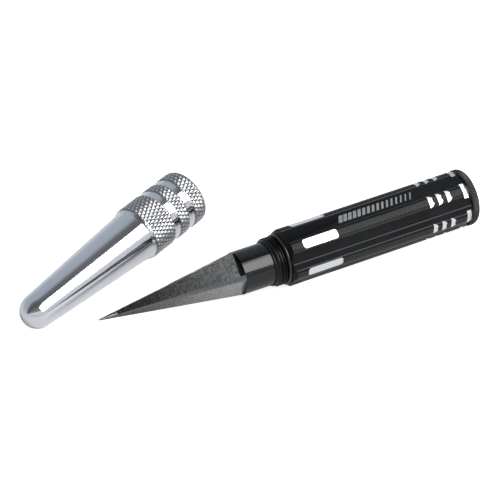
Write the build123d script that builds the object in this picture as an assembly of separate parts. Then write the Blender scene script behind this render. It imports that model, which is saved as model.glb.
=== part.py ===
"""Taper reamer for thin hobby body shells, lying on a table with its screw-on cap beside it.

The tool's axis is parallel to X, with the point toward -X. The table is Z = 0.
Lengths marked "from the point" are measured along the tool's axis from the reamer's tip,
and lengths marked "from the dome" along the cap's axis from the end of its dome.
"""
from build123d import *

import os
from math import asin, atan2, cos, degrees, hypot, radians, sin, tan

# Placement of the tool and of the cap (mm, degrees)
POINT_X = -57.18               # the reamer's point
AXIS_Y = -20.56                # the tool's axis
CAP_DOME_X = POINT_X - 12.69   # centre of the cap's dome
CAP_DOME_Y = AXIS_Y + 17.68
CAP_YAW = 20.5                 # the cap's axis, seen from above, against the tool's

# Reamer: four flats ground on a cone, then a round shank and a tang inside the handle
POINT_R = 0.25
SHANK_R = 7.0
CONE_L = 47.9
FLAT_START = 6.0
FLAT_END = 48.1
FLAT_COUNT = 4
FLAT_HALF_ANGLE = 37.7
FLAT_DIRECTION = 22.5   # first flat, from straight up, toward -Y
FLAT_CUT = 12.0         # how far out the cutter for a flat reaches
SHANK_END = 58.3
TANG_R = 5.0
TANG_END = 84.0
TANG_CHAMFER = 0.6

# Handle: threaded nose, then six raised ribs with grooved flat panels between them
THREAD_MAJOR_R = 8.0
THREAD_MINOR_R = 7.45
THREAD_PITCH = 1.0
THREAD_START = 59.2
THREAD_TURNS = 3
THREAD_CREST = 0.06     # half the width of the ridge's flat top
THREAD_HALF_ROOT = 0.42  # half the width of the ridge's root, in pitches
THREAD_BURIED = 0.08    # how far the ridge reaches into its core
NOSE_CHAMFER = 0.3
RING_GROOVE_START = 62.65
RING_GROOVE_R = 7.25
SHOULDER = 63.8
SHOULDER_R = 8.3
SHOULDER_CHAMFER_END = 64.9
CREST_R = 9.45
RIB_COUNT = 6
RIB_DIRECTION = 36.5    # first rib, from straight up, toward -Y
CREST_HALF_ANGLE = 6.0
RIB_HALF_WIDTH = 1.78   # out to the edge of the bevel
BEVEL_ANGLE = 20.0
FLANK_WIDTH = 0.14
FLANK_HEIGHT = 0.2
GROOVE_HALF_WIDTH = 0.85
GROOVE_WALL = 0.32      # how wide each sloping wall of a groove is
GROOVE_DEPTH = 0.15
PLAIN_PANEL = 5         # this panel has no groove, because a mark is etched on it
HANDLE_END = 130.1

# Cuts across the ribs
WINDOW_START = 68.95
WINDOW_END = 81.5
WINDOW_DEPTH = 0.25
WINDOW_SQUARE = 0.9     # beyond this half width the window's corners are clipped
WINDOW_REACH = 2.5      # half the width of its cutter
NOTCH_STARTS = (115.15, 118.45, 121.8)
NOTCH_L = 1.85
NOTCH_DEPTH = 0.42
BAND_START = 127.9
BAND_END = 129.45
BAND_R = 8.9
CUT_REACH = 1.0         # how far the cutters stand proud of the ribs

# End cap, which turns on a screw in the handle's end
END_GAP = 0.1
END_CAP_END = 132.7
END_CAP_EDGE = 0.25
SPIGOT_R = 5.95
SPIGOT_START = 126.3
REAR_BORE_R = 6.0
REAR_BORE_START = 126.0
SCREW_R = 1.5
SCREW_HOLE_R = 1.65
SCREW_START = 116.0
HEAD_R = 2.75
HEAD_START = 129.6
HEAD_END = 132.5
HEAD_CHAMFER = 0.2
HEAD_POCKET_R = 3.1
HEAD_POCKET_START = 129.5
SOCKET_R = 1.44
SOCKET_DEPTH = 1.5

# Sealing ring in front of the shoulder
SEAL_SECTION_R = 0.54
SEAL_CENTRE_R = 7.8
SEAL_CENTRE = 63.22

# Cap: dome, long cone and three gripping bands between two grooves
CAP_L = 75.0
DOME_R = 5.65
NECK_START = 50.2
NECK_R = 8.57
GRIP_R = 9.4
GRIP_START = 50.9
GRIP_GROOVES = ((60.2, 62.6), (67.1, 69.5))
GRIP_GROOVE_R = 9.0
GRIP_GROOVE_SLOPE = 0.35
MOUTH_CHAMFER = 0.35
CAP_THREAD_R = 8.25
CAP_THREAD_CREST_R = 7.75
CAP_THREAD_L = 5.2
CAP_SEAT_R = 8.45
CAP_SEAT_L = 1.3
CAP_BORE_R = 7.25
CAP_BORE_L = 20.0
CAP_TAPER_L = 66.5
CAP_TAPER_END_R = 1.0


def turned(points):
    """A body of revolution about X from (along, radius) corners."""
    return revolve(make_face(Polyline(*points, close=True)), Axis.X)


def cylinder(radius, start, end):
    """A round bar along X."""
    return turned([(start, 0), (start, radius), (end, radius), (end, 0)])


def helical_ridge(root_r, crest_r, start, turns):
    """A 60 degree thread ridge about X, overlapping its core by a little."""
    helix = Helix(pitch=THREAD_PITCH, height=THREAD_PITCH * turns, radius=root_r)
    inward = THREAD_BURIED if crest_r > root_r else -THREAD_BURIED
    half = THREAD_HALF_ROOT * THREAD_PITCH
    tooth = Plane(origin=helix @ 0, x_dir=(1, 0, 0), z_dir=helix % 0)
    rise = crest_r - root_r
    outline = Polyline(
        (-inward, -half), (rise, -THREAD_CREST), (rise, THREAD_CREST), (-inward, half), close=True
    )
    ridge = sweep(tooth * make_face(outline), path=helix, is_frenet=True)
    return Pos(start, 0, 0) * Rot(0, 90, 0) * ridge


def make_reamer():
    """Cone, shank and tang, with flats that leave narrow lands between them."""
    body = turned([
        (0, 0), (0, POINT_R), (CONE_L, SHANK_R), (SHANK_END, SHANK_R), (SHANK_END, TANG_R),
        (TANG_END - TANG_CHAMFER, TANG_R), (TANG_END, TANG_R - TANG_CHAMFER), (TANG_END, 0),
    ])
    slope = (SHANK_R - POINT_R) / CONE_L
    reach = cos(radians(FLAT_HALF_ANGLE))
    low = (POINT_R + slope * FLAT_START) * reach
    high = (POINT_R + slope * FLAT_END) * reach
    side = Polyline(
        (FLAT_START, low), (FLAT_END, high), (FLAT_END, FLAT_CUT), (FLAT_START, FLAT_CUT), close=True
    )
    wedge = extrude(make_face(side), FLAT_CUT, both=True)
    for index in range(FLAT_COUNT):
        turn = FLAT_DIRECTION + index * 360 / FLAT_COUNT
        body -= Rot(90 + turn, 0, 0) * wedge
    return body


def rib_section():
    """Cross-section of the handle: raised ribs with bevelled edges, and panels with a shallow groove."""
    def turned_by(direction, across, height):
        spot = Vector(across, height, 0).rotate(Axis.Z, direction)
        return (spot.X, spot.Y)

    pitch = 360 / RIB_COUNT
    crest_across = CREST_R * sin(radians(CREST_HALF_ANGLE))
    crest_height = CREST_R * cos(radians(CREST_HALF_ANGLE))
    bevel_height = crest_height - (RIB_HALF_WIDTH - crest_across) * tan(radians(BEVEL_ANGLE))
    foot_across = RIB_HALF_WIDTH + FLANK_WIDTH
    foot_height = bevel_height - FLANK_HEIGHT
    foot_angle = degrees(atan2(foot_across, foot_height))
    panel_r = hypot(foot_across, foot_height) * cos(radians(pitch / 2 - foot_angle))
    edges = []
    for index in range(RIB_COUNT):
        rib = RIB_DIRECTION + index * pitch
        panel = rib + pitch / 2
        following = rib + pitch
        start = turned_by(rib, crest_across, crest_height)
        end = turned_by(rib, -crest_across, crest_height)
        edges.append(ThreePointArc(start, turned_by(rib, 0, CREST_R), end))
        corners = [
            end, turned_by(rib, -RIB_HALF_WIDTH, bevel_height), turned_by(rib, -foot_across, foot_height),
        ]
        if index != PLAIN_PANEL:
            floor_half = GROOVE_HALF_WIDTH - GROOVE_WALL
            floor_r = panel_r - GROOVE_DEPTH
            corners += [
                turned_by(panel, GROOVE_HALF_WIDTH, panel_r), turned_by(panel, floor_half, floor_r),
                turned_by(panel, -floor_half, floor_r), turned_by(panel, -GROOVE_HALF_WIDTH, panel_r),
            ]
        corners += [
            turned_by(following, foot_across, foot_height),
            turned_by(following, RIB_HALF_WIDTH, bevel_height),
            turned_by(following, crest_across, crest_height),
        ]
        edges.append(Polyline(*corners))
    return make_face(Curve() + edges)


def make_window():
    """Cutter for the bright flat milled across a rib, with clipped corners."""
    square = (WINDOW_END - WINDOW_START) / 2
    clipped = square - (WINDOW_REACH - WINDOW_SQUARE)
    outline = Polyline(
        (square, WINDOW_SQUARE), (clipped, WINDOW_REACH), (-clipped, WINDOW_REACH),
        (-square, WINDOW_SQUARE), (-square, -WINDOW_SQUARE), (-clipped, -WINDOW_REACH),
        (clipped, -WINDOW_REACH), (square, -WINDOW_SQUARE), close=True,
    )
    cutter = extrude(make_face(outline), CUT_REACH)
    return Pos((WINDOW_START + WINDOW_END) / 2, 0, CREST_R - WINDOW_DEPTH) * cutter


def make_notch(start):
    """Cutter for a turned thumb groove: a square wall on the point side, then a ramp back up."""
    return turned([
        (start, CREST_R - NOTCH_DEPTH), (start + NOTCH_L, CREST_R), (start + NOTCH_L, CREST_R + CUT_REACH),
        (start, CREST_R + CUT_REACH),
    ])


def make_handle():
    """The handle barrel with its threaded nose, blind front bore and rear bore."""
    section = Plane(origin=(SHOULDER, 0, 0), x_dir=(0, 1, 0), z_dir=(1, 0, 0)) * rib_section()
    grip = extrude(section, HANDLE_END - SHOULDER)
    over = CREST_R + CUT_REACH
    envelope = turned([
        (SHOULDER, 0), (SHOULDER, SHOULDER_R), (SHOULDER_CHAMFER_END, CREST_R), (SHOULDER_CHAMFER_END, over),
        (BAND_START, over), (BAND_START, BAND_R), (BAND_END, BAND_R), (BAND_END, over), (HANDLE_END, over),
        (HANDLE_END, 0),
    ])
    grip &= envelope
    for index in range(RIB_COUNT):
        grip -= Rot(RIB_DIRECTION + index * 360 / RIB_COUNT, 0, 0) * make_window()
    for start in NOTCH_STARTS:
        grip -= make_notch(start)
    nose = turned([
        (SHANK_END, 0), (SHANK_END, RING_GROOVE_R), (SHANK_END + NOSE_CHAMFER, THREAD_MINOR_R),
        (RING_GROOVE_START, THREAD_MINOR_R), (RING_GROOVE_START, RING_GROOVE_R),
        (SHOULDER + CUT_REACH, RING_GROOVE_R), (SHOULDER + CUT_REACH, 0),
    ])
    ridge = helical_ridge(THREAD_MINOR_R, THREAD_MAJOR_R, THREAD_START, THREAD_TURNS)
    ridge &= turned([
        (SHANK_END, 0), (SHANK_END, RING_GROOVE_R), (THREAD_START + NOSE_CHAMFER, over),
        (RING_GROOVE_START, over), (RING_GROOVE_START, 0),
    ])
    body = grip + nose + ridge
    body -= cylinder(TANG_R, SHANK_END - 1, TANG_END + 1.5)
    body -= cylinder(REAR_BORE_R, REAR_BORE_START, HANDLE_END + 1)
    body -= cylinder(SCREW_R, SCREW_START - 1, HANDLE_END + 1)
    return body


def make_end_cap():
    """Knurled disc with a spigot in the handle's rear bore and a pocket for the screw head."""
    return turned([
        (SPIGOT_START, SCREW_HOLE_R), (SPIGOT_START, SPIGOT_R), (HANDLE_END + END_GAP, SPIGOT_R),
        (HANDLE_END + END_GAP, CREST_R - END_CAP_EDGE), (HANDLE_END + END_GAP + END_CAP_EDGE, CREST_R),
        (END_CAP_END - END_CAP_EDGE, CREST_R), (END_CAP_END, CREST_R - END_CAP_EDGE),
        (END_CAP_END, HEAD_POCKET_R), (HEAD_POCKET_START, HEAD_POCKET_R), (HEAD_POCKET_START, SCREW_HOLE_R),
    ])


def make_end_screw():
    """Socket-head screw that holds the end cap."""
    body = turned([
        (SCREW_START, 0), (SCREW_START, SCREW_R), (HEAD_START, SCREW_R), (HEAD_START, HEAD_R),
        (HEAD_END - HEAD_CHAMFER, HEAD_R), (HEAD_END, HEAD_R - HEAD_CHAMFER), (HEAD_END, 0),
    ])
    socket = extrude(Plane.YZ * RegularPolygon(SOCKET_R, 6), SOCKET_DEPTH + 1)
    return body - Pos(HEAD_END - SOCKET_DEPTH, 0, 0) * socket


def make_seal_ring():
    """Rubber ring in the groove between the thread and the shoulder."""
    section = Pos(SEAL_CENTRE, SEAL_CENTRE_R, 0) * Circle(SEAL_SECTION_R)
    return revolve(section, Axis.X)


def make_cap():
    """Hollow cap with its dome's centre at the origin and its mouth toward +X."""
    corners = [(DOME_R, DOME_R), (NECK_START, NECK_R), (GRIP_START, GRIP_R)]
    for start, end in GRIP_GROOVES:
        slope = GRIP_GROOVE_SLOPE
        corners += [(start, GRIP_R), (start + slope, GRIP_GROOVE_R)]
        corners += [(end - slope, GRIP_GROOVE_R), (end, GRIP_R)]
    corners += [(CAP_L - MOUTH_CHAMFER, GRIP_R), (CAP_L, GRIP_R - MOUTH_CHAMFER)]
    corners += [(CAP_L, CAP_SEAT_R), (CAP_L - CAP_SEAT_L, CAP_SEAT_R), (CAP_L - CAP_SEAT_L, CAP_THREAD_R)]
    corners += [(CAP_L - CAP_THREAD_L, CAP_THREAD_R), (CAP_L - CAP_THREAD_L, CAP_BORE_R)]
    corners += [(CAP_L - CAP_BORE_L, CAP_BORE_R), (CAP_L - CAP_TAPER_L, CAP_TAPER_END_R)]
    corners += [(CAP_L - CAP_TAPER_L - CAP_TAPER_END_R, 0), (0, 0)]
    quarter = DOME_R * sin(radians(45))
    dome = ThreePointArc((0, 0), (DOME_R - quarter, quarter), (DOME_R, DOME_R))
    body = revolve(make_face(Curve() + [dome, Polyline(*corners)]), Axis.X)
    start = CAP_L - CAP_THREAD_L
    seat = CAP_L - CAP_SEAT_L
    ridge = helical_ridge(CAP_THREAD_R, CAP_THREAD_CREST_R, start + THREAD_PITCH / 2, THREAD_TURNS)
    buried = CAP_THREAD_R + THREAD_BURIED
    body += ridge & turned([(start, 0), (start, buried), (seat, buried), (seat, 0)])
    return Pos(-DOME_R, 0, 0) * body


def lay_cap(cap):
    """Lay the cap on the table, touching it with the dome and the front edge of its first band."""
    rise = degrees(asin((GRIP_R - DOME_R) / (GRIP_START - DOME_R)))
    return Pos(CAP_DOME_X, CAP_DOME_Y, DOME_R) * Rot(0, 0, CAP_YAW) * Rot(0, -rise, 0) * cap


def main():
    """Build every node and write it to parts/."""
    tool = Pos(POINT_X, AXIS_Y, CREST_R)
    nodes = {
        "reamer": tool * make_reamer(),
        "handle": tool * make_handle(),
        "end_cap": tool * make_end_cap(),
        "end_screw": tool * make_end_screw(),
        "seal_ring": tool * make_seal_ring(),
        "cap": lay_cap(make_cap()),
    }
    os.makedirs("parts", exist_ok=True)
    for name, shape in nodes.items():
        export_step(shape, f"parts/{name}.step")
        box = shape.bounding_box()
        print(name, len(shape.solids()), round(shape.volume, 1), box.min, box.max)


main()
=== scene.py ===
"""Looks of the taper reamer and its cap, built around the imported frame."""

from math import asin, cos, pi, radians, sin, tan

import bmesh
import bpy
from mathutils import Euler, Matrix, Vector


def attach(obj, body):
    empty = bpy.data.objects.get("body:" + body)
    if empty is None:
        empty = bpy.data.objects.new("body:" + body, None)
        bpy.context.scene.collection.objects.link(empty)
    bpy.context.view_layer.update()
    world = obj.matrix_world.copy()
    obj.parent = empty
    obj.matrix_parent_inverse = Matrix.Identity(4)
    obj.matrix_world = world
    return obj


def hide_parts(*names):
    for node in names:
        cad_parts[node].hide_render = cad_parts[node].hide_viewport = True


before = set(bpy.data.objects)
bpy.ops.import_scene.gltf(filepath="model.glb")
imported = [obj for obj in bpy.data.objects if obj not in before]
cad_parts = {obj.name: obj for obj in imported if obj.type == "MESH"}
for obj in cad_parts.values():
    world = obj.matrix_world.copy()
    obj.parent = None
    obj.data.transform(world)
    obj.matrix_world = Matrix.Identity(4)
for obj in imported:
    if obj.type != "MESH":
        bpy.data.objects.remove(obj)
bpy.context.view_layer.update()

MM = 0.001

# Lengths are in mm and angles in degrees. The tool's axis is parallel to X, "along" counts from the
# reamer's point or the cap's dome, and a direction counts from straight up toward -Y.

# Placement
POINT_X = -57.18
AXIS_Y = -20.56
AXIS_Z = 9.45
CAP_DOME_X = POINT_X - 12.69
CAP_DOME_Y = AXIS_Y + 17.68
CAP_YAW = 20.5           # the cap's axis, turned about Z from the tool's

# Reamer
FLAT_START = 6.0
FLAT_DIRECTION = 22.5    # the middle of one of the four flats
FLAT_HALF_ANGLE = 37.7   # from a flat's middle to its edge
# The ends of two flats are painted black: unground blackening there, with the run-out's shade painted in as
# well.
BLACK_RUNOUT_FROM = 46.9       # two of the four flats are black from here
RUNOUT_LEAN = 0.017         # how far the dip's edge leans, in mm per degree
FLATS_DARK_BEFORE = 10.0         # the flats are dark before this, and lighten up to the next
FLATS_LIGHT_AFTER = 50.0
BLACKENED_FROM = 48.04   # the whole shank is black from here

# Handle
RIB_COUNT = 6
RIB_DIRECTION = 36.5
CREST_R = 9.45
CREST_HALF_ANGLE = 6.0
RIB_HALF_WIDTH = 1.78
BEVEL_ANGLE = 20.0
FOOT_ACROSS = 1.92       # where a rib's side meets the panel, from the rib's middle
FOOT_HEIGHT = 8.91
CUTS_FROM = 65.0
CUTS_TO = 129.6
RIB_REACH = 3.3          # no cut reaches further than this from a rib's middle
NOSE_R = 8.0             # the nose and its thread lie within this radius
HATCH_AROUND = 78        # hatch lines in a full turn
HATCH_ALONG = 1.5        # length of one hatch diamond
PLAIN_PANEL_DIRECTION = 6.5
PLAIN_PANEL_FROM = 8.4   # the panel without a groove lies higher than this
MARK_START = 84.4
MARK_END = 111.5
MARK_HALF_WIDTH = 1.5
MARK_PITCH = 1.75
MARK_LEAN = 0.55         # sideways shift of a bar's top, for its height
MARK_FIRST_SHARE = 0.80  # part of the pitch that the first bar fills
MARK_THINNING = 0.55     # how much of that share is gone at the last bar

# Knurls and thread
CELLS_PER_TOOTH = 6      # mesh cells across one tooth or diamond
STEPS_PER_TURN = 64
RIDGE_POINTS = 5         # four corners round the ridge's section, with the first one twice
WELD = 0.0005            # points nearer than this are one
KNURL_CROWN = 0.48       # the height at which a diamond is flat, as a share of a tooth
END_CAP_CROWN = 0.375

# End cap
END_CAP_FACE = 130.2
END_CAP_END = 132.7
END_CAP_R = 9.45
END_CAP_TEETH = 72
END_CAP_TOOTH = 0.22
END_CAP_KNURL_ROWS = 4
SPIGOT_START = 126.3
SPIGOT_R = 5.95
SCREW_HOLE_R = 1.65
HEAD_POCKET_R = 3.1
HEAD_POCKET_START = 129.5

# Cap
CAP_L = 75.0
DOME_R = 5.65
NECK_START = 50.2
NECK_R = 8.57
GRIP_R = 9.4
GRIP_START = 50.9
GRIP_GROOVES = ((60.2, 62.6), (67.1, 69.5))
GRIP_GROOVE_R = 9.0
GRIP_GROOVE_SIDE = 0.3
GRIP_END = 74.65
KNURL_DEPTH = 0.34
KNURL_AROUND = 40        # diamonds in a full turn
KNURL_ALONG = 2.5        # length of one diamond
CAP_SEAT_R = 8.45
CAP_SEAT_L = 1.3
CAP_THREAD_R = 8.25
CAP_THREAD_CREST_R = 7.75
CAP_THREAD_L = 5.2
CAP_THREAD_PITCH = 1.0
CAP_THREAD_TURNS = 3.0
CAP_BORE_R = 7.25
CAP_BORE_L = 20.0
CAP_TAPER_L = 66.5
CAP_TAPER_END_R = 1.0

# Studio: the brightness of the surroundings in each direction
WALLS = (
    (-180, 0.6), (-92, 0.85), (-76, 0.52), (-28, 0.46), (-19, 0.34), (-12, 0.18),
    (14, 0.10), (52, 0.25), (60, 0.80), (75, 0.66), (90, 0.6), (180, 0.6),
)
COOL_BEHIND = 0.12       # how blue the surroundings are behind the object
COOL_BEFORE = 0.05
SOFTBOX_FROM = (0.46, -0.49, 0.74)
SOFTBOX_DISTANCE = 0.9   # in metres, as its size is
SOFTBOX_SIZE = (1.0, 0.60)
SOFTBOX_POWER = 12.0
TABLE_GLOW = 0.8         # the table's own brightness, seen by the camera alone
TABLE_HALF = 3.0         # half the table's side, in metres

# Camera, placed from the reamer's point on the table
CAMERA_FROM_POINT = (-283.36, -607.74, 544.12)
AIM_FROM_POINT = (63.71, 19.54, 0.0)
LENS = 200.8
SENSOR = 36


# ---------------------------------------------------------------- placement

def tool_matrix():
    """From tool space (along X, in mm) to the room, in metres."""
    return Matrix.Scale(MM, 4) @ Matrix.Translation((POINT_X, AXIS_Y, AXIS_Z))


def cap_matrix():
    """From cap space (along X from the dome's end, in mm) to the cap's place on the table."""
    rise = asin((GRIP_R - DOME_R) / (GRIP_START - DOME_R))
    turn = Euler((0, -rise, 0)).to_matrix().to_4x4()
    turn = Euler((0, 0, radians(CAP_YAW))).to_matrix().to_4x4() @ turn
    place = Matrix.Translation((CAP_DOME_X, CAP_DOME_Y, DOME_R))
    return Matrix.Scale(MM, 4) @ place @ turn @ Matrix.Translation((-DOME_R, 0, 0))


# ---------------------------------------------------------------- shader nodes

class Graph:
    """Adds nodes to a shader or geometry tree, with sockets or plain values as inputs."""

    def __init__(self, tree):
        self.tree = tree

    def node(self, kind, settings=None, **inputs):
        """A node of a kind, with settings on the node and inputs by socket name."""
        made = self.tree.nodes.new(kind)
        for name, value in (settings or {}).items():
            setattr(made, name, value)
        for name, value in inputs.items():
            self.feed(made, name.replace("_", " "), value)
        return made

    def feed(self, made, key, value):
        """Link a socket to an input, or set the input's plain value."""
        socket = made.inputs[key]
        if isinstance(value, bpy.types.NodeSocket):
            self.tree.links.new(value, socket)
        else:
            socket.default_value = value

    def math(self, operation, *values):
        """A Math node's output."""
        made = self.tree.nodes.new("ShaderNodeMath")
        made.operation = operation
        for index, value in enumerate(values):
            self.feed(made, index, value)
        return made.outputs[0]

    def smooth(self, value, low, high):
        """0 below low and 1 above high, with a smooth step between; low may be the larger."""
        made = self.node(
            "ShaderNodeMapRange", {"interpolation_type": "SMOOTHSTEP"}, Value=value,
        )
        made.inputs["From Min"].default_value = low
        made.inputs["From Max"].default_value = high
        return made.outputs["Result"]

    def mix(self, mask, first, second):
        """Colour mix: first where the mask is 0, second where it is 1."""
        made = self.node("ShaderNodeMix", {"data_type": "RGBA"})
        self.feed(made, 0, mask)
        self.feed(made, 6, first)
        self.feed(made, 7, second)
        return made.outputs[2]

    def blend(self, mask, first, second):
        """Number mix: first where the mask is 0, second where it is 1."""
        made = self.node("ShaderNodeMix", {"data_type": "FLOAT"})
        self.feed(made, 0, mask)
        self.feed(made, 2, first)
        self.feed(made, 3, second)
        return made.outputs[0]

    def group(self, tree, **inputs):
        """A node group placed in this tree."""
        made = self.tree.nodes.new("ShaderNodeGroup")
        made.node_tree = tree
        for name, value in inputs.items():
            self.feed(made, name.replace("_", " "), value)
        return made.outputs


def new_group(name, inputs, outputs, kind="ShaderNodeTree"):
    """An empty node group with named sockets; returns the tree, its graph, its input and output nodes."""
    tree = bpy.data.node_groups.new(name, kind)
    for socket, socket_type, default in inputs:
        made = tree.interface.new_socket(socket, in_out="INPUT", socket_type=socket_type)
        if default is not None:
            made.default_value = default
    for socket, socket_type in outputs:
        tree.interface.new_socket(socket, in_out="OUTPUT", socket_type=socket_type)
    entry = tree.nodes.new("NodeGroupInput")
    leaving = tree.nodes.new("NodeGroupOutput")
    return tree, Graph(tree), entry, leaving


def turned_coordinates():
    """Along (mm), radius (mm) and direction (degrees from straight up toward -Y) about an X axis."""
    tree, graph, entry, leaving = new_group(
        "turned_coordinates",
        [("Place", "NodeSocketVector", None)],
        [("Along", "NodeSocketFloat"), ("Radius", "NodeSocketFloat"), ("Direction", "NodeSocketFloat")],
    )
    parts = graph.node("ShaderNodeSeparateXYZ", Vector=entry.outputs["Place"])
    across, height = parts.outputs["Y"], parts.outputs["Z"]
    square = graph.math("ADD", graph.math("MULTIPLY", across, across), graph.math("MULTIPLY", height, height))
    turn = graph.math("ARCTAN2", graph.math("MULTIPLY", across, -1.0), height)
    graph.feed(leaving, "Along", parts.outputs["X"])
    graph.feed(leaving, "Radius", graph.math("SQRT", square))
    graph.feed(leaving, "Direction", graph.math("DEGREES", turn))
    return tree


def wrapped_direction():
    """The signed angle in degrees from the nearest of evenly spaced directions."""
    tree, graph, entry, leaving = new_group(
        "wrapped_direction",
        [
            ("Direction", "NodeSocketFloat", 0.0),
            ("First", "NodeSocketFloat", 0.0),
            ("Spacing", "NodeSocketFloat", 60.0),
        ],
        [("Offset", "NodeSocketFloat")],
    )
    half = graph.math("MULTIPLY", entry.outputs["Spacing"], 0.5)
    start = graph.math("SUBTRACT", entry.outputs["Direction"], entry.outputs["First"])
    shifted = graph.math("ADD", graph.math("ADD", start, half), 3600.0)
    wrapped = graph.math("FLOORED_MODULO", shifted, entry.outputs["Spacing"])
    graph.feed(leaving, "Offset", graph.math("SUBTRACT", wrapped, half))
    return tree


def turning_marks():
    """Height of the fine rings that a lathe leaves, from the place along the axis."""
    tree, graph, entry, leaving = new_group(
        "turning_marks",
        [
            ("Along", "NodeSocketFloat", 0.0),
            ("Pitch", "NodeSocketFloat", 0.2),
            ("Unevenness", "NodeSocketFloat", 0.5),
        ],
        [("Height", "NodeSocketFloat")],
    )
    place = graph.math("DIVIDE", entry.outputs["Along"], entry.outputs["Pitch"])
    noise = graph.node(
        "ShaderNodeTexNoise", {"noise_dimensions": "1D"}, W=place, Scale=1.0, Detail=2.0, Roughness=0.6,
    )
    rings = graph.math("PINGPONG", place, 0.5)
    graph.feed(leaving, "Height", graph.blend(entry.outputs["Unevenness"], rings, noise.outputs["Fac"]))
    return tree


def handling_marks():
    """A slow patchy value from 0 to 1 for finger marks and uneven sheen."""
    tree, graph, entry, leaving = new_group(
        "handling_marks",
        [("Place", "NodeSocketVector", None), ("Size", "NodeSocketFloat", 8.0)],
        [("Patches", "NodeSocketFloat")],
    )
    scale = graph.math("DIVIDE", 1.0, entry.outputs["Size"])
    noise = graph.node(
        "ShaderNodeTexNoise", Vector=entry.outputs["Place"], Scale=scale, Detail=4.0, Roughness=0.6,
    )
    graph.feed(leaving, "Patches", graph.smooth(noise.outputs["Fac"], 0.35, 0.68))
    return tree


COORDINATES = turned_coordinates()
WRAPPED = wrapped_direction()
TURNING = turning_marks()
HANDLING = handling_marks()


def part_material(name, to_room):
    """A new material: its graph, its Principled shader, the place in mm and the turned coordinates."""
    material = bpy.data.materials.new(name)
    material.use_nodes = True
    graph = Graph(material.node_tree)
    shader = material.node_tree.nodes["Principled BSDF"]
    back = to_room.inverted()
    spot = graph.node("ShaderNodeTexCoord").outputs["Object"]
    mapping = graph.node("ShaderNodeMapping", {"vector_type": "POINT"}, Vector=spot)
    mapping.inputs["Location"].default_value = back.to_translation()
    mapping.inputs["Rotation"].default_value = back.to_euler()
    mapping.inputs["Scale"].default_value = (1 / MM, 1 / MM, 1 / MM)
    place = mapping.outputs["Vector"]
    return material, graph, shader, place, graph.group(COORDINATES, Place=place)


def bump(graph, height, distance, strength=1.0):
    """A Bump node's normal, with its distance in mm."""
    made = graph.node("ShaderNodeBump", Height=height)
    made.inputs["Distance"].default_value = distance * MM
    made.inputs["Strength"].default_value = strength
    return made.outputs["Normal"]


# ---------------------------------------------------------------- finishes

def reamer_steel():
    """Ground flats and lands, and a blackened shank whose black also covers the run-out at the ends of two
    flats, partly as painted shade.
    """
    material, graph, shader, place, turned = part_material("ground_and_blackened_steel", tool_matrix())
    along = turned["Along"]
    offset = graph.group(WRAPPED, Direction=turned["Direction"], First=FLAT_DIRECTION, Spacing=90.0)["Offset"]
    sweep = graph.math("ABSOLUTE", offset)
    on_flat = graph.math("MULTIPLY", graph.smooth(sweep, FLAT_HALF_ANGLE + 0.4, FLAT_HALF_ANGLE - 0.4),
                         graph.smooth(along, FLAT_START, FLAT_START + 0.1))
    edge = graph.math("ADD", along, graph.math("MULTIPLY", offset, RUNOUT_LEAN))
    pair = graph.group(WRAPPED, Direction=turned["Direction"], First=FLAT_DIRECTION, Spacing=180.0)["Offset"]
    one_pair = graph.smooth(graph.math("ABSOLUTE", pair), 46.0, 44.0)
    runout_flats = graph.math("MULTIPLY", on_flat, one_pair)
    # Painted shade, in part: the run-out at the ends of two flats is painted black, as unground blackening
    # and as the shade that falls in it.
    black_runout = graph.math("MULTIPLY", runout_flats, graph.smooth(edge, BLACK_RUNOUT_FROM - 0.05, BLACK_RUNOUT_FROM + 0.05))
    black = graph.math("MAXIMUM", black_runout, graph.smooth(along, BLACKENED_FROM, BLACKENED_FROM + 0.06))
    stretched = graph.node("ShaderNodeMapping", Vector=place)
    stretched.inputs["Scale"].default_value = (2.6, 0.3, 0.3)
    streaks = graph.node(
        "ShaderNodeTexNoise", Vector=stretched.outputs["Vector"], Scale=1.0, Detail=6.0, Roughness=0.7,
    )
    mottle = graph.node("ShaderNodeTexNoise", Vector=place, Scale=0.9, Detail=5.0, Roughness=0.8)
    grain = graph.smooth(graph.blend(0.55, streaks.outputs["Fac"], mottle.outputs["Fac"]), 0.36, 0.64)
    # Darker toward the point, lighter toward the shank.
    toward_shank = graph.smooth(along, FLATS_DARK_BEFORE, FLATS_LIGHT_AFTER)
    dull = graph.mix(toward_shank, (0.055, 0.052, 0.045, 1), (0.27, 0.27, 0.26, 1))
    clean = graph.mix(toward_shank, (0.12, 0.118, 0.11, 1), (0.46, 0.465, 0.46, 1))
    flat_colour = graph.mix(grain, dull, clean)
    land_colour = graph.mix(grain, (0.15, 0.155, 0.165, 1), (0.21, 0.215, 0.23, 1))
    ground = graph.mix(on_flat, land_colour, flat_colour)
    specks = graph.node("ShaderNodeTexVoronoi", Vector=place, Scale=0.45)
    speck = graph.smooth(specks.outputs["Distance"], 0.09, 0.05)
    dark = graph.mix(speck, (0.005, 0.0055, 0.006, 1), (0.05, 0.05, 0.045, 1))
    graph.feed(shader, "Base Color", graph.mix(black, ground, dark))
    graph.feed(shader, "Metallic", graph.blend(black, 1.0, 0.0))
    rough = graph.blend(on_flat, 0.22, graph.blend(grain, 0.24, 0.34))
    graph.feed(shader, "Roughness", graph.blend(black, rough, 0.14))
    shader.inputs["Specular IOR Level"].default_value = 0.45
    rings = graph.group(TURNING, Along=along, Pitch=0.16, Unevenness=0.7)["Height"]
    height = graph.blend(black, graph.blend(on_flat, rings, grain), graph.math("MULTIPLY", rings, 0.04))
    graph.feed(shader, "Normal", bump(graph, height, 0.008))
    return material


def fall(graph, across, start, slope):
    """How far a straight slope has fallen at a distance across, from where it starts."""
    return graph.math("MULTIPLY", graph.math("MAXIMUM", graph.math("SUBTRACT", across, start), 0.0), slope)


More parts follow.
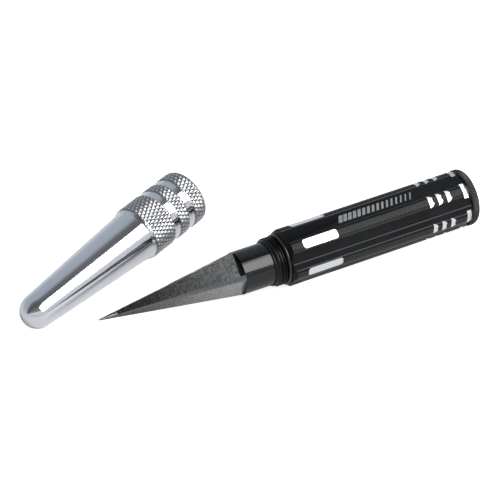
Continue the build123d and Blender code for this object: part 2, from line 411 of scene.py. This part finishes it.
def crossed_lines(graph, along, direction):
    """1 on two crossing sets of fine lines, as a diamond knurl leaves on a crest."""
    turn = graph.math("DIVIDE", direction, 360 / HATCH_AROUND)
    shift = graph.math("DIVIDE", along, HATCH_ALONG)
    rising = graph.math("PINGPONG", graph.math("ADD", turn, shift), 0.5)
    falling = graph.math("PINGPONG", graph.math("SUBTRACT", turn, shift), 0.5)
    return graph.smooth(graph.math("MINIMUM", rising, falling), 0.16, 0.06)


def handle_anodise():
    """Black anodise, bare metal where a cut goes below the rib profile, and an etched mark, with painted
    highlights on the ribs' edges and on the crests' hatch lines.
    """
    material, graph, shader, place, turned = part_material("black_anodised_aluminium", tool_matrix())
    along, radius, direction = turned["Along"], turned["Radius"], turned["Direction"]
    rib = graph.group(WRAPPED, Direction=direction, First=RIB_DIRECTION, Spacing=360 / RIB_COUNT)["Offset"]
    angle = graph.math("RADIANS", rib)
    height = graph.math("MULTIPLY", radius, graph.math("COSINE", angle))
    across = graph.math("ABSOLUTE", graph.math("MULTIPLY", radius, graph.math("SINE", angle)))
    from_plain = graph.group(
        WRAPPED, Direction=direction, First=PLAIN_PANEL_DIRECTION, Spacing=360.0,
    )["Offset"]
    edge = CREST_R * sin(radians(CREST_HALF_ANGLE))
    top = CREST_R * cos(radians(CREST_HALF_ANGLE))
    bevel = graph.math("SUBTRACT", top, fall(graph, across, edge, tan(radians(BEVEL_ANGLE))))
    panel_slope = tan(radians(180 / RIB_COUNT))
    panel = graph.math("SUBTRACT", FOOT_HEIGHT, fall(graph, across, FOOT_ACROSS, panel_slope))
    square = graph.math("SUBTRACT", CREST_R * CREST_R, graph.math("MULTIPLY", across, across))
    arc = graph.math("SQRT", graph.math("MAXIMUM", square, 0.0))
    crest_profile = graph.math("MINIMUM", arc, bevel)
    profile = graph.blend(graph.smooth(across, RIB_HALF_WIDTH, FOOT_ACROSS), crest_profile, panel)
    below = graph.math("SUBTRACT", profile, height)
    ribbed = graph.math("MULTIPLY", graph.smooth(along, CUTS_FROM, CUTS_FROM + 0.05),
                        graph.smooth(along, CUTS_TO, CUTS_TO - 0.05))
    near_rib = graph.math("MULTIPLY", graph.smooth(across, RIB_REACH, RIB_REACH - 0.1),
                          graph.smooth(radius, NOSE_R, NOSE_R + 0.1))
    cut = graph.math("MULTIPLY", graph.math("MULTIPLY", graph.smooth(below, 0.02, 0.045), ribbed), near_rib)

    fine = graph.group(TURNING, Along=along, Pitch=0.09, Unevenness=0.8)["Height"]
    patches = graph.group(HANDLING, Place=place, Size=14.0)["Patches"]
    crest = graph.math("MULTIPLY", graph.smooth(across, edge + 0.02, edge - 0.02), ribbed)
    hatch = crossed_lines(graph, along, direction)
    # Painted highlight: the crest's hatch lines are painted lighter than the gaps between them, as glints on
    # the knurl's facets; the bump carries the real hatch pattern.
    crest_hatch_with_glints = graph.mix(hatch, (0.004, 0.0045, 0.0045, 1), (0.042, 0.044, 0.043, 1))
    panel_colour = graph.mix(patches, (0.003, 0.0034, 0.0042, 1), (0.005, 0.0055, 0.0066, 1))
    black = graph.mix(crest, panel_colour, crest_hatch_with_glints)
    # Painted highlight: a thin lighter line along each rib's side, where its edge catches the light.
    bend = graph.math("ABSOLUTE", graph.math("SUBTRACT", across, RIB_HALF_WIDTH))
    rim_highlight = graph.math("MULTIPLY", graph.smooth(bend, 0.11, 0.04), ribbed)
    black = graph.mix(graph.math("MULTIPLY", rim_highlight, 0.8), black, (0.045, 0.047, 0.047, 1))
    mark = etched_mark(graph, along, from_plain, radius)
    black = graph.mix(mark, black, (0.22, 0.225, 0.225, 1))
    bare = graph.mix(fine, (0.80, 0.81, 0.83, 1), (0.90, 0.91, 0.93, 1))
    graph.feed(shader, "Base Color", graph.mix(cut, black, bare))
    graph.feed(shader, "Metallic", graph.blend(cut, 0.0, 1.0))
    rough = graph.blend(crest, graph.blend(patches, 0.30, 0.38), 0.52)
    graph.feed(shader, "Roughness", graph.blend(cut, graph.blend(mark, rough, 0.6), 0.36))
    lines = graph.blend(crest, graph.math("MULTIPLY", fine, 0.1), graph.math("MULTIPLY", hatch, 2.5))
    graph.feed(shader, "Normal", bump(graph, graph.blend(cut, lines, fine), 0.012))
    shader.inputs["Specular IOR Level"].default_value = 0.2
    return material


def etched_mark(graph, along, from_panel, radius):
    """A plain row of slanted bars along the panel without a ridge: 1 on a bar, 0 off it."""
    turn = graph.math("RADIANS", from_panel)
    across = graph.math("MULTIPLY", radius, graph.math("SINE", turn))
    facing = graph.smooth(graph.math("MULTIPLY", radius, graph.math("COSINE", turn)),
                          PLAIN_PANEL_FROM, PLAIN_PANEL_FROM + 0.1)
    lean = graph.math("MULTIPLY", across, MARK_LEAN)
    leaning = graph.math("ADD", graph.math("SUBTRACT", along, MARK_START), lean)
    length = MARK_END - MARK_START
    begun = graph.smooth(leaning, 0.0, 0.06)
    inside = graph.math("MULTIPLY", begun, graph.smooth(leaning, length, length - 0.06))
    wide = graph.smooth(graph.math("ABSOLUTE", across), MARK_HALF_WIDTH, MARK_HALF_WIDTH - 0.05)
    pitches = graph.math("DIVIDE", leaning, MARK_PITCH)
    thinned = graph.math("MULTIPLY", graph.math("FLOOR", pitches), MARK_THINNING * MARK_PITCH / length)
    share = graph.math("SUBTRACT", MARK_FIRST_SHARE, thinned)
    bars = graph.smooth(graph.math("SUBTRACT", graph.math("FRACT", pitches), share), 0.02, -0.02)
    return graph.math("MULTIPLY", graph.math("MULTIPLY", inside, wide), graph.math("MULTIPLY", bars, facing))


def cap_aluminium():
    """Polished cone and dome with faint lathe rings, and a slightly duller knurl with painted shade in its
    valleys.
    """
    material, graph, shader, place, turned = part_material("polished_aluminium", cap_matrix())
    along = turned["Along"]
    knurled = graph.math("MULTIPLY", graph.smooth(along, GRIP_START - 0.3, GRIP_START),
                         graph.smooth(turned["Radius"], GRIP_GROOVE_R + 0.02, GRIP_GROOVE_R + 0.1))
    rings = graph.group(TURNING, Along=along, Pitch=0.22, Unevenness=0.85)["Height"]
    patches = graph.group(HANDLING, Place=place, Size=18.0)["Patches"]
    clean = graph.mix(patches, (0.74, 0.755, 0.79, 1), (0.79, 0.80, 0.83, 1))
    # Painted shade: the knurl's valleys are painted dark and its crowns light, standing in for the shade
    # between the diamonds.
    unshaded_crowns = graph.smooth(turned["Radius"], GRIP_R - 0.8 * KNURL_DEPTH, GRIP_R - 0.15 * KNURL_DEPTH)
    knurl_with_painted_valley_shade = graph.mix(unshaded_crowns, (0.20, 0.202, 0.205, 1), (0.90, 0.90, 0.90, 1))
    graph.feed(shader, "Base Color", graph.mix(knurled, clean, knurl_with_painted_valley_shade))
    shader.inputs["Metallic"].default_value = 1.0
    graph.feed(shader, "Roughness", graph.blend(knurled, graph.blend(patches, 0.09, 0.12), 0.34))
    graph.feed(shader, "Normal", bump(graph, rings, 0.003))
    return material


def end_cap_anodise():
    """Dark grey anodise with the knurl's crests a little worn."""
    material, graph, shader, place, turned = part_material("dark_anodised_aluminium", tool_matrix())
    patches = graph.group(HANDLING, Place=place, Size=3.0)["Patches"]
    outer = graph.smooth(turned["Radius"], END_CAP_R - 0.12, END_CAP_R - 0.02)
    worn = graph.math("MULTIPLY", outer, graph.blend(patches, 0.3, 0.8))
    graph.feed(shader, "Base Color", graph.mix(worn, (0.010, 0.011, 0.011, 1), (0.028, 0.030, 0.029, 1)))
    shader.inputs["Specular IOR Level"].default_value = 0.3
    graph.feed(shader, "Roughness", graph.blend(patches, 0.34, 0.44))
    rings = graph.group(TURNING, Along=turned["Radius"], Pitch=0.18, Unevenness=0.6)["Height"]
    graph.feed(shader, "Normal", bump(graph, rings, 0.006))
    return material


def screw_steel():
    """Black oxide, unevenly rubbed."""
    material, graph, shader, place, _ = part_material("black_oxide_screw", tool_matrix())
    patches = graph.group(HANDLING, Place=place, Size=1.5)["Patches"]
    graph.feed(shader, "Base Color", graph.mix(patches, (0.020, 0.020, 0.021, 1), (0.055, 0.055, 0.055, 1)))
    shader.inputs["Metallic"].default_value = 0.7
    graph.feed(shader, "Roughness", graph.blend(patches, 0.30, 0.42))
    return material


def seal_rubber():
    """Smooth black rubber with a faint bloom."""
    material, graph, shader, place, _ = part_material("black_rubber", tool_matrix())
    patches = graph.group(HANDLING, Place=place, Size=2.5)["Patches"]
    graph.feed(shader, "Base Color", graph.mix(patches, (0.006, 0.006, 0.007, 1), (0.012, 0.012, 0.013, 1)))
    graph.feed(shader, "Roughness", graph.blend(patches, 0.18, 0.26))
    return material


# ---------------------------------------------------------------- turned pieces

def rounded(corners, steps=4):
    """An outline from (along, radius, rounding) corners, each with an arc of that radius."""
    outline = []
    last = len(corners) - 1
    for index, (along, radius, rounding) in enumerate(corners):
        corner = Vector((along, radius))
        if rounding == 0 or index in (0, last):
            outline.append((along, radius))
            continue
        back = Vector(corners[index - 1][:2]) - corner
        ahead = Vector(corners[index + 1][:2]) - corner
        room = min(back.length, ahead.length) * 0.45
        back.normalize()
        ahead.normalize()
        half = back.angle(ahead) / 2
        reach = min(rounding / tan(half), room)
        bisector = (back + ahead).normalized()
        centre = corner + bisector * (reach / cos(half))
        arm = reach * tan(half)
        start = (corner + back * reach - centre).normalized()
        end = (corner + ahead * reach - centre).normalized()
        for step in range(steps + 1):
            spoke = start.lerp(end, step / steps).normalized()
            spot = centre + spoke * arm
            outline.append((spot.x, spot.y))
    return outline


def dome(radius, steps=14):
    """A quarter circle from the pole at along 0 to the radius."""
    return [(radius * (1 - cos(pi / 2 * k / steps)), radius * sin(pi / 2 * k / steps)) for k in range(steps)]


def lathe(name, strips, segments):
    """A turned object about X, in mm, from one or more outlines; a radius of 0 makes a pole."""
    points, faces = [], []
    for outline in strips:
        rows = []
        for along, radius in outline:
            count = segments if radius > 0 else 1
            rows.append([len(points) + step % count for step in range(segments)])
            for step in range(count):
                turn = 2 * pi * step / segments
                points.append((along, radius * cos(turn), radius * sin(turn)))
        for first, second in zip(rows, rows[1:]):
            for step in range(segments):
                follow = (step + 1) % segments
                corners = [first[step], first[follow], second[follow], second[step]]
                faces.append(list(dict.fromkeys(corners)))
    mesh = bpy.data.meshes.new(name)
    mesh.from_pydata(points, [], faces)
    mesh.shade_smooth()
    made = bpy.data.objects.new(name, mesh)
    bpy.context.scene.collection.objects.link(made)
    return made


def knurl_tree():
    """Geometry nodes: a knurled sleeve about X, welded into the gap that the body has for it."""
    tree, graph, entry, leaving = new_group(
        "knurled_sleeve",
        [
            ("Body", "NodeSocketGeometry", None),
            ("Start", "NodeSocketFloat", 0.0),
            ("End", "NodeSocketFloat", 1.0),
            ("Radius", "NodeSocketFloat", 9.4),
            ("Depth", "NodeSocketFloat", 0.25),
            ("Teeth", "NodeSocketInt", 60),
            ("Rows", "NodeSocketInt", 8),
            ("Crossed", "NodeSocketFloat", 1.0),
            ("Crown", "NodeSocketFloat", 0.4),
            ("Finish", "NodeSocketMaterial", None),
        ],
        [("Geometry", "NodeSocketGeometry")],
        "GeometryNodeTree",
    )
    get = entry.outputs
    around = graph.math("ADD", graph.math("MULTIPLY", get["Teeth"], float(CELLS_PER_TOOTH)), 1.0)
    grid = graph.node("GeometryNodeMeshGrid")
    graph.feed(grid, "Vertices X", graph.math("ADD", get["Rows"], 1.0))
    graph.feed(grid, "Vertices Y", around)
    index = graph.node("GeometryNodeInputIndex").outputs[0]
    row = graph.math("FLOOR", graph.math("DIVIDE", graph.math("ADD", index, 0.5), around))
    step = graph.math("SUBTRACT", index, graph.math("MULTIPLY", row, around))
    tooth = graph.math("DIVIDE", step, float(CELLS_PER_TOOTH))
    shift = graph.math("MULTIPLY", graph.math("DIVIDE", row, float(CELLS_PER_TOOTH)), get["Crossed"])
    rising = graph.math("PINGPONG", graph.math("ADD", tooth, shift), 0.5)
    falling = graph.math("PINGPONG", graph.math("SUBTRACT", tooth, shift), 0.5)
    lower = graph.math("MINIMUM", graph.math("MINIMUM", rising, falling), get["Crown"])
    inner = graph.math("MULTIPLY", graph.math("GREATER_THAN", row, 0.5),
                       graph.math("LESS_THAN", row, graph.math("SUBTRACT", get["Rows"], 0.5)))
    lift = graph.math("MULTIPLY", graph.math("DIVIDE", lower, get["Crown"]), inner)
    drop = graph.math("MULTIPLY", graph.math("SUBTRACT", 1.0, lift), get["Depth"])
    radius = graph.math("SUBTRACT", get["Radius"], drop)
    length = graph.math("SUBTRACT", get["End"], get["Start"])
    share = graph.math("DIVIDE", row, get["Rows"])
    along = graph.math("ADD", get["Start"], graph.math("MULTIPLY", length, share))
    turn = graph.math("MULTIPLY", graph.math("DIVIDE", tooth, get["Teeth"]), 2 * pi)
    spot = graph.node("ShaderNodeCombineXYZ", X=along)
    graph.feed(spot, "Y", graph.math("MULTIPLY", radius, graph.math("COSINE", turn)))
    graph.feed(spot, "Z", graph.math("MULTIPLY", radius, graph.math("SINE", turn)))
    sleeve = graph.node("GeometryNodeSetPosition", Geometry=grid.outputs["Mesh"], Position=spot.outputs[0])
    facets = graph.node(
        "GeometryNodeTriangulate", {"quad_method": "SHORTEST_DIAGONAL"}, Mesh=sleeve.outputs[0],
    )
    smoothed = graph.node("GeometryNodeSetShadeSmooth", Geometry=facets.outputs[0])
    smoothed.inputs["Shade Smooth"].default_value = True
    join_and_finish(graph, smoothed.outputs[0], get, leaving)
    return tree


def ridge_tree():
    """Geometry nodes: a thread ridge about X that runs out to a point at both ends."""
    tree, graph, entry, leaving = new_group(
        "thread_ridge",
        [
            ("Body", "NodeSocketGeometry", None),
            ("Start", "NodeSocketFloat", 0.0),
            ("Pitch", "NodeSocketFloat", 1.0),
            ("Turns", "NodeSocketFloat", 3.0),
            ("Root Radius", "NodeSocketFloat", 8.25),
            ("Crest Radius", "NodeSocketFloat", 7.75),
            ("Finish", "NodeSocketMaterial", None),
        ],
        [("Geometry", "NodeSocketGeometry")],
        "GeometryNodeTree",
    )
    get = entry.outputs
    last = graph.math("MULTIPLY", get["Turns"], float(STEPS_PER_TURN))
    grid = graph.node("GeometryNodeMeshGrid")
    graph.feed(grid, "Vertices X", graph.math("ADD", last, 1.0))
    graph.feed(grid, "Vertices Y", RIDGE_POINTS)
    index = graph.node("GeometryNodeInputIndex").outputs[0]
    points = float(RIDGE_POINTS)
    row = graph.math("FLOOR", graph.math("DIVIDE", graph.math("ADD", index, 0.5), points))
    column = graph.math("SUBTRACT", index, graph.math("MULTIPLY", row, points))
    corner = graph.math("MODULO", column, points - 1)
    top = graph.math("COMPARE", corner, 1.5, 0.6)
    from_end = graph.math("MINIMUM", row, graph.math("SUBTRACT", last, row))
    fade = graph.math("MINIMUM", graph.math("DIVIDE", from_end, STEPS_PER_TURN / 8), 1.0)
    rise = graph.math("MULTIPLY", graph.math("SUBTRACT", get["Crest Radius"], get["Root Radius"]), fade)
    radius = graph.math("ADD", get["Root Radius"], graph.math("MULTIPLY", rise, graph.blend(top, -0.1, 1.0)))
    side = graph.math("MULTIPLY", graph.math("SUBTRACT", corner, 1.5), graph.blend(top, 0.28, 0.12))
    reach = graph.math("MULTIPLY", graph.math("MULTIPLY", side, get["Pitch"]), fade)
    turns = graph.math("DIVIDE", row, float(STEPS_PER_TURN))
    middle = graph.math("ADD", get["Start"], graph.math("MULTIPLY", turns, get["Pitch"]))
    along = graph.math("ADD", middle, reach)
    turn = graph.math("MULTIPLY", turns, 2 * pi)
    spot = graph.node("ShaderNodeCombineXYZ", X=along)
    graph.feed(spot, "Y", graph.math("MULTIPLY", radius, graph.math("COSINE", turn)))
    graph.feed(spot, "Z", graph.math("MULTIPLY", radius, graph.math("SINE", turn)))
    ridge = graph.node("GeometryNodeSetPosition", Geometry=grid.outputs["Mesh"], Position=spot.outputs[0])
    join_and_finish(graph, ridge.outputs[0], get, leaving)
    return tree


def join_and_finish(graph, added, get, leaving):
    """Join what was added to the body, weld it, and give it all the finish."""
    joined = graph.node("GeometryNodeJoinGeometry")
    graph.tree.links.new(added, joined.inputs[0])
    graph.tree.links.new(get["Body"], joined.inputs[0])
    welded = graph.node("GeometryNodeMergeByDistance", Geometry=joined.outputs[0])
    welded.inputs["Distance"].default_value = WELD
    real = graph.node("GeometryNodeRealizeInstances", Geometry=welded.outputs[0])
    finished = graph.node("GeometryNodeSetMaterial", Geometry=real.outputs[0], Material=get["Finish"])
    graph.feed(leaving, "Geometry", finished.outputs[0])


def add_nodes(piece, tree, **inputs):
    """A Geometry Nodes modifier with its inputs set by their sockets' identifiers."""
    modifier = piece.modifiers.new(tree.name, "NODES")
    modifier.node_group = tree
    sockets = {s.name: s.identifier for s in tree.interface.items_tree if s.in_out == "INPUT"}
    for name, value in inputs.items():
        modifier[sockets[name.replace("_", " ")]] = value


def settle(piece, to_room, crisp):
    """Turn the evaluated piece into a plain mesh in its place, faces outward, crisp past an angle."""
    plain = bpy.data.meshes.new_from_object(piece.evaluated_get(bpy.context.evaluated_depsgraph_get()))
    name = piece.name
    bpy.data.objects.remove(piece)
    plain.name = name
    shell = bmesh.new()
    shell.from_mesh(plain)
    bmesh.ops.recalc_face_normals(shell, faces=shell.faces)
    shell.to_mesh(plain)
    shell.free()
    plain.transform(to_room)
    plain.set_sharp_from_angle(angle=radians(crisp))
    made = bpy.data.objects.new(name, plain)
    bpy.context.scene.collection.objects.link(made)
    return made


def cap_strips():
    """The cap's outlines: everything but its three knurled bands."""
    low = GRIP_R - KNURL_DEPTH
    front = dome(DOME_R) + rounded([
        (DOME_R, DOME_R, 0), (NECK_START, NECK_R, 0.15), (GRIP_START, low, 0),
    ], 5)
    strips = [front]
    for start, end in GRIP_GROOVES:
        strips.append(rounded([
            (start, low, 0), (start + GRIP_GROOVE_SIDE, GRIP_GROOVE_R, 0.12),
            (end - GRIP_GROOVE_SIDE, GRIP_GROOVE_R, 0.12), (end, low, 0),
        ]))
    strips.append(rounded([
        (GRIP_END, low, 0), (CAP_L, low - 0.1, 0.1), (CAP_L, CAP_SEAT_R, 0.1),
        (CAP_L - CAP_SEAT_L, CAP_SEAT_R, 0.05), (CAP_L - CAP_SEAT_L, CAP_THREAD_R, 0.05),
        (CAP_L - CAP_THREAD_L, CAP_THREAD_R, 0.05), (CAP_L - CAP_THREAD_L, CAP_BORE_R, 0.1),
        (CAP_L - CAP_BORE_L, CAP_BORE_R, 2.0), (CAP_L - CAP_TAPER_L, CAP_TAPER_END_R, 0.2),
        (CAP_L - CAP_TAPER_L - 1, 0, 0),
    ]))
    return strips


def make_cap(sleeve, ridge, finish):
    """The aluminium cap with its knurled bands and inner thread."""
    cap = lathe("cap_shell", cap_strips(), KNURL_AROUND * CELLS_PER_TOOTH)
    cell = KNURL_ALONG / CELLS_PER_TOOTH
    edges = [GRIP_START, *[edge for groove in GRIP_GROOVES for edge in groove], GRIP_END]
    for start, end in zip(edges[::2], edges[1::2]):
        add_nodes(cap, sleeve, Start=start, End=end, Radius=GRIP_R, Depth=KNURL_DEPTH, Teeth=KNURL_AROUND,
                  Rows=round((end - start) / cell), Crossed=1.0, Crown=KNURL_CROWN, Finish=finish)
    add_nodes(cap, ridge, Start=CAP_L - CAP_THREAD_L + 0.6, Pitch=CAP_THREAD_PITCH, Turns=CAP_THREAD_TURNS,
              Root_Radius=CAP_THREAD_R, Crest_Radius=CAP_THREAD_CREST_R, Finish=finish)
    cap = settle(cap, cap_matrix(), 58)
    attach(cap, "cap")
    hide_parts("cap")


def make_end_cap(sleeve, finish):
    """The turning disc at the handle's end, with its straight knurl and screw pocket."""
    low = END_CAP_R - END_CAP_TOOTH
    knurl_start, knurl_end = END_CAP_FACE + 0.2, END_CAP_END - 0.2
    strip = rounded([
        (knurl_end, low, 0), (END_CAP_END, low - 0.15, 0.1), (END_CAP_END, HEAD_POCKET_R, 0.12),
        (HEAD_POCKET_START, HEAD_POCKET_R, 0.05), (HEAD_POCKET_START, SCREW_HOLE_R, 0.05),
        (SPIGOT_START, SCREW_HOLE_R, 0.05), (SPIGOT_START, SPIGOT_R, 0.2), (END_CAP_FACE, SPIGOT_R, 0.05),
        (END_CAP_FACE, low - 0.15, 0.1), (knurl_start, low, 0),
    ])
    disc = lathe("end_disc", [strip], END_CAP_TEETH * CELLS_PER_TOOTH)
    add_nodes(disc, sleeve, Start=knurl_start, End=knurl_end, Radius=END_CAP_R, Depth=END_CAP_TOOTH,
              Teeth=END_CAP_TEETH, Rows=END_CAP_KNURL_ROWS, Crossed=0.0, Crown=END_CAP_CROWN, Finish=finish)
    disc = settle(disc, tool_matrix(), 32)
    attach(disc, "end_cap")
    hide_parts("end_cap")


def smooth_copy(node, finish, crisp):
    """A tool node's own shape, merged so that its round faces shade smoothly up to an angle."""
    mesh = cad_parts[node].data.copy()
    mesh.name = node + "_body"
    shell = bmesh.new()
    shell.from_mesh(mesh)
    bmesh.ops.remove_doubles(shell, verts=shell.verts, dist=0.5e-6)
    shell.to_mesh(mesh)
    shell.free()
    mesh.shade_smooth()
    mesh.set_sharp_from_angle(angle=radians(crisp))
    mesh.materials.clear()
    mesh.materials.append(finish)
    piece = bpy.data.objects.new(node + "_body", mesh)
    bpy.context.scene.collection.objects.link(piece)
    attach(piece, "tool")
    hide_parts(node)


# ---------------------------------------------------------------- studio

def make_floor():
    """A wide white table."""
    mesh = bpy.data.meshes.new("table")
    corners = [(-TABLE_HALF, -TABLE_HALF, 0), (TABLE_HALF, -TABLE_HALF, 0),
               (TABLE_HALF, TABLE_HALF, 0), (-TABLE_HALF, TABLE_HALF, 0)]
    mesh.from_pydata(corners, [], [(0, 1, 2, 3)])
    table = bpy.data.objects.new("table", mesh)
    bpy.context.scene.collection.objects.link(table)
    paper = bpy.data.materials.new("white_paper")
    paper.use_nodes = True
    graph = Graph(paper.node_tree)
    shader = paper.node_tree.nodes["Principled BSDF"]
    shader.inputs["Base Color"].default_value = (0.68, 0.68, 0.685, 1)
    shader.inputs["Roughness"].default_value = 0.9
    shader.inputs["Specular IOR Level"].default_value = 0.1
    shader.inputs["Emission Color"].default_value = (1, 1, 1, 1)
    seen = graph.node("ShaderNodeLightPath").outputs["Is Camera Ray"]
    graph.feed(shader, "Emission Strength", graph.math("MULTIPLY", seen, TABLE_GLOW))
    mesh.materials.append(paper)


def make_softbox(aim):
    """A rectangular soft light, up on the camera's side, that points at a place (m)."""
    data = bpy.data.lights.new("softbox", "AREA")
    data.shape = "RECTANGLE"
    data.size, data.size_y = SOFTBOX_SIZE
    data.energy = SOFTBOX_POWER
    light = bpy.data.objects.new("softbox", data)
    light.location = aim + Vector(SOFTBOX_FROM) * SOFTBOX_DISTANCE
    light.rotation_euler = (aim - light.location).to_track_quat("-Z", "Y").to_euler()
    bpy.context.scene.collection.objects.link(light)


def studio_walls(world):
    """Pale surroundings with a dark gap behind the softbox, by direction only."""
    graph = Graph(world.node_tree)
    background = world.node_tree.nodes["Background"]
    toward = graph.node("ShaderNodeTexCoord").outputs["Generated"]
    parts = graph.node("ShaderNodeSeparateXYZ", Vector=toward)
    toward_front = graph.math("MULTIPLY", parts.outputs["Y"], -1.0)
    tilt = graph.math("DEGREES", graph.math("ARCTAN2", toward_front, parts.outputs["Z"]))
    ramp = graph.node("ShaderNodeValToRGB", Fac=graph.math("ADD", graph.math("DIVIDE", tilt, 360.0), 0.5))
    stops = ramp.color_ramp
    while len(stops.elements) > 1:
        stops.elements.remove(stops.elements[0])
    for index, (angle, level) in enumerate(WALLS):
        spot = stops.elements[0] if index == 0 else stops.elements.new(angle / 360 + 0.5)
        spot.position = angle / 360 + 0.5
        cool = COOL_BEHIND if angle < 0 else COOL_BEFORE
        spot.color = (level * (1 - cool), level * (1 - cool / 3), level * (1 + cool / 2), 1)
    graph.feed(background, "Color", ramp.outputs["Color"])
    background.inputs["Strength"].default_value = 1.0


def make_camera():
    """A long lens, looking down on both pieces from the point's side."""
    data = bpy.data.cameras.new("camera")
    data.lens = LENS
    data.sensor_width = SENSOR
    camera = bpy.data.objects.new("camera", data)
    point = Vector((POINT_X, AXIS_Y, 0))
    eye = (point + Vector(CAMERA_FROM_POINT)) * MM
    aim = (point + Vector(AIM_FROM_POINT)) * MM
    camera.location = eye
    camera.rotation_euler = (aim - eye).to_track_quat("-Z", "Y").to_euler()
    bpy.context.scene.collection.objects.link(camera)
    bpy.context.scene.camera = camera


def make_studio():
    """The table, the softbox, pale surroundings and the camera."""
    make_floor()
    world = bpy.data.worlds.new("studio")
    world.use_nodes = True
    studio_walls(world)
    bpy.context.scene.world = world
    make_softbox(Vector((0.0, AXIS_Y * MM, 0.0)))
    make_camera()
    bpy.context.scene.view_settings.view_transform = "Standard"


def main():
    """Dress the frame and set the studio."""
    sleeve = knurl_tree()
    ridge = ridge_tree()
    smooth_copy("reamer", reamer_steel(), 7.6)
    smooth_copy("handle", handle_anodise(), 9)
    smooth_copy("seal_ring", seal_rubber(), 60)
    smooth_copy("end_screw", screw_steel(), 24)
    make_end_cap(sleeve, end_cap_anodise())
    make_cap(sleeve, ridge, cap_aluminium())
    make_studio()


main()
